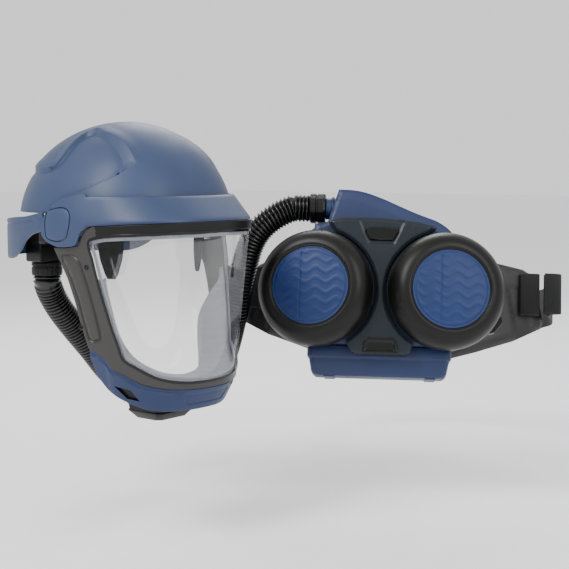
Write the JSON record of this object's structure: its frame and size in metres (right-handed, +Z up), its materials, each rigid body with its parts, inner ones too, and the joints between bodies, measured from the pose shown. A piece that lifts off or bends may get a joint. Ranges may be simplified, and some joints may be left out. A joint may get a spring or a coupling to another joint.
{
  "type": "powered respirator helmet",
  "caption": "Powered respirator helmet with lifting visor and chin guard, head harness, corrugated breathing hose, waist-worn fan and filter unit with battery, and padded belt.",
  "frame": {"origin": "middle of the wearer's head between the visor's two pivots, where the head harness holds the helmet up", "axes": "+Z up along the wearer's head, -Y towards the front of the visor, -X to the wearer's right"},
  "size_m": [0.6902, 0.455, 0.3462],
  "materials": {
    "shell_blue": "satin moulded plastic",
    "moulded_blue": "fine-grained moulded plastic",
    "disc_blue": "satin moulded plastic",
    "frame_taupe": "satin moulded plastic",
    "black_plastic": "fine-grained moulded plastic",
    "gloss_black": "smooth moulded plastic",
    "soft_black": "soft matt plastic",
    "hose_rubber": "ribbed and slightly glossy",
    "seal_grey": "coated cloth",
    "clear_pane": "clear polycarbonate",
    "black_fabric": "padded cloth",
    "webbing": "woven belt webbing"
  },
  "bodies": {
    "helmet": {"air_duct": "black_plastic", "battery": "moulded_blue", "battery_latch": "black_plastic", "belt_buckle": "black_plastic", "belt_pad": "black_fabric", "belt_web_left": "webbing", "belt_web_right": "webbing", "centre_panel": "black_plastic", "crown_strap_cross": "black_fabric", "crown_strap_long": "black_fabric", "duct_collar": "black_plastic", "fan_body": "moulded_blue", "filter_disc_left": "disc_blue", "filter_disc_right": "disc_blue", "filter_ring_left": "soft_black", "filter_ring_right": "soft_black", "harness_clip_1": "black_plastic", "harness_clip_2": "black_plastic", "harness_clip_3": "black_plastic", "harness_clip_4": "black_plastic", "headband": "black_plastic", "helmet_shell": "shell_blue", "hose": "hose_rubber", "hose_connector": "black_plastic", "outlet_collar": "moulded_blue", "pivot_washer_left": "black_plastic", "pivot_washer_right": "black_plastic", "rear_band": "shell_blue", "temple_flap_left": "black_fabric", "temple_flap_right": "black_fabric", "web_fold_left": "webbing", "web_fold_right": "webbing"},
    "visor": {"brow_band": "shell_blue", "pivot_cap_right": "shell_blue", "pivot_cap_left": "shell_blue", "visor_frame": "frame_taupe", "visor_pane": "clear_pane", "chin_guard": "moulded_blue", "face_seal": "seal_grey", "chin_tray": "black_plastic", "exhale_valve": "black_plastic"},
    "button": {"control_button": "gloss_black"}
  },
  "joints": [
    {"name": "visor_hinge", "type": "hinge", "parent": "helmet", "child": "visor", "pos_m": [0, -0.004, 0.002], "axis": [-1, 0, 0], "range_deg": [0, 60]},
    {"name": "button_press", "type": "slide", "parent": "helmet", "child": "button", "axis": [0.7987, 0.551, -0.2419], "range_m": [0, 0.0015], "stiffness_N_per_m": 400, "springref_m": -0.002}
  ]
}
